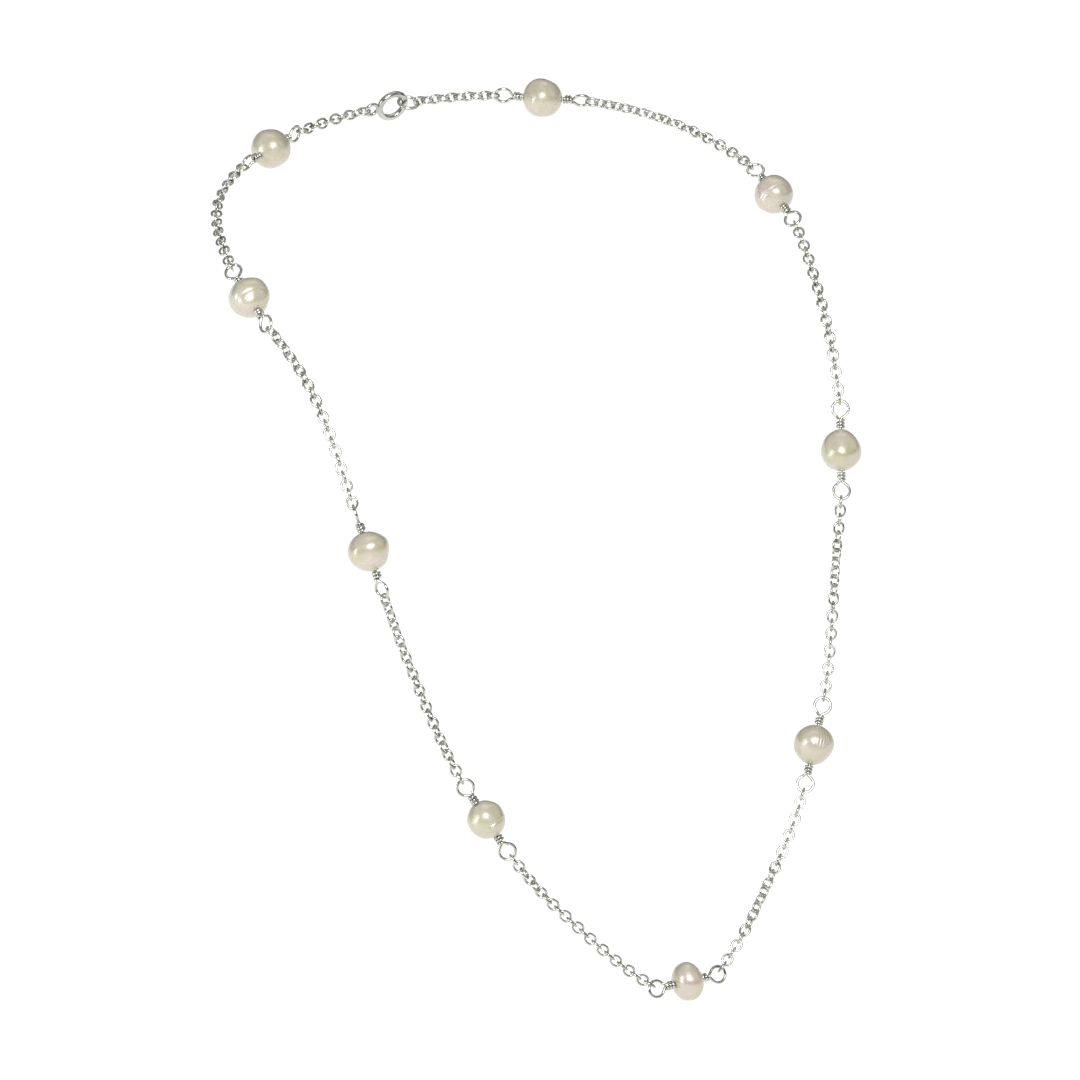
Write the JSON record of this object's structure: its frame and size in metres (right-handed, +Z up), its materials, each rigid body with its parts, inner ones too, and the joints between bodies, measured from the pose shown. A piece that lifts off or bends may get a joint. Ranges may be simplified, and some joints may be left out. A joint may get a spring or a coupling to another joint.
{
  "type": "station necklace",
  "caption": "Station necklace of fine silver cable chain with evenly spaced freshwater pearls on wrapped wire loops, as worn.",
  "frame": {"origin": "middle of the nape, on the strand's centre line, where the necklace rests on the back of the neck", "axes": "+Z up; the front of the necklace hangs at -Y; +X is the viewer's right when looking along +Y at the front"},
  "size_m": [0.1088, 0.1132, 0.1304],
  "materials": {
    "pearl": "pearly cream nacre with a soft gloss",
    "station_wire": "bright polished silver wire",
    "chain": "bright polished silver links",
    "fastening": "bright polished silver"
  },
  "bodies": {
    "root": {"pearl_1": "pearl", "pearl_2": "pearl", "pearl_3": "pearl", "pearl_4": "pearl", "pearl_5": "pearl", "pearl_6": "pearl", "pearl_7": "pearl", "pearl_8": "pearl", "pearl_9": "pearl", "wire_1": "station_wire", "wire_2": "station_wire", "wire_3": "station_wire", "wire_4": "station_wire", "wire_5": "station_wire", "wire_6": "station_wire", "wire_7": "station_wire", "wire_8": "station_wire", "wire_9": "station_wire", "chain_1": "chain", "chain_2": "chain", "chain_3": "chain", "chain_4": "chain", "chain_5": "chain", "chain_6": "chain", "chain_7": "chain", "chain_8": "chain", "chain_back_left": "chain", "chain_back_right": "chain", "clasp": "fastening", "end_ring": "fastening"}
  },
  "joints": []
}
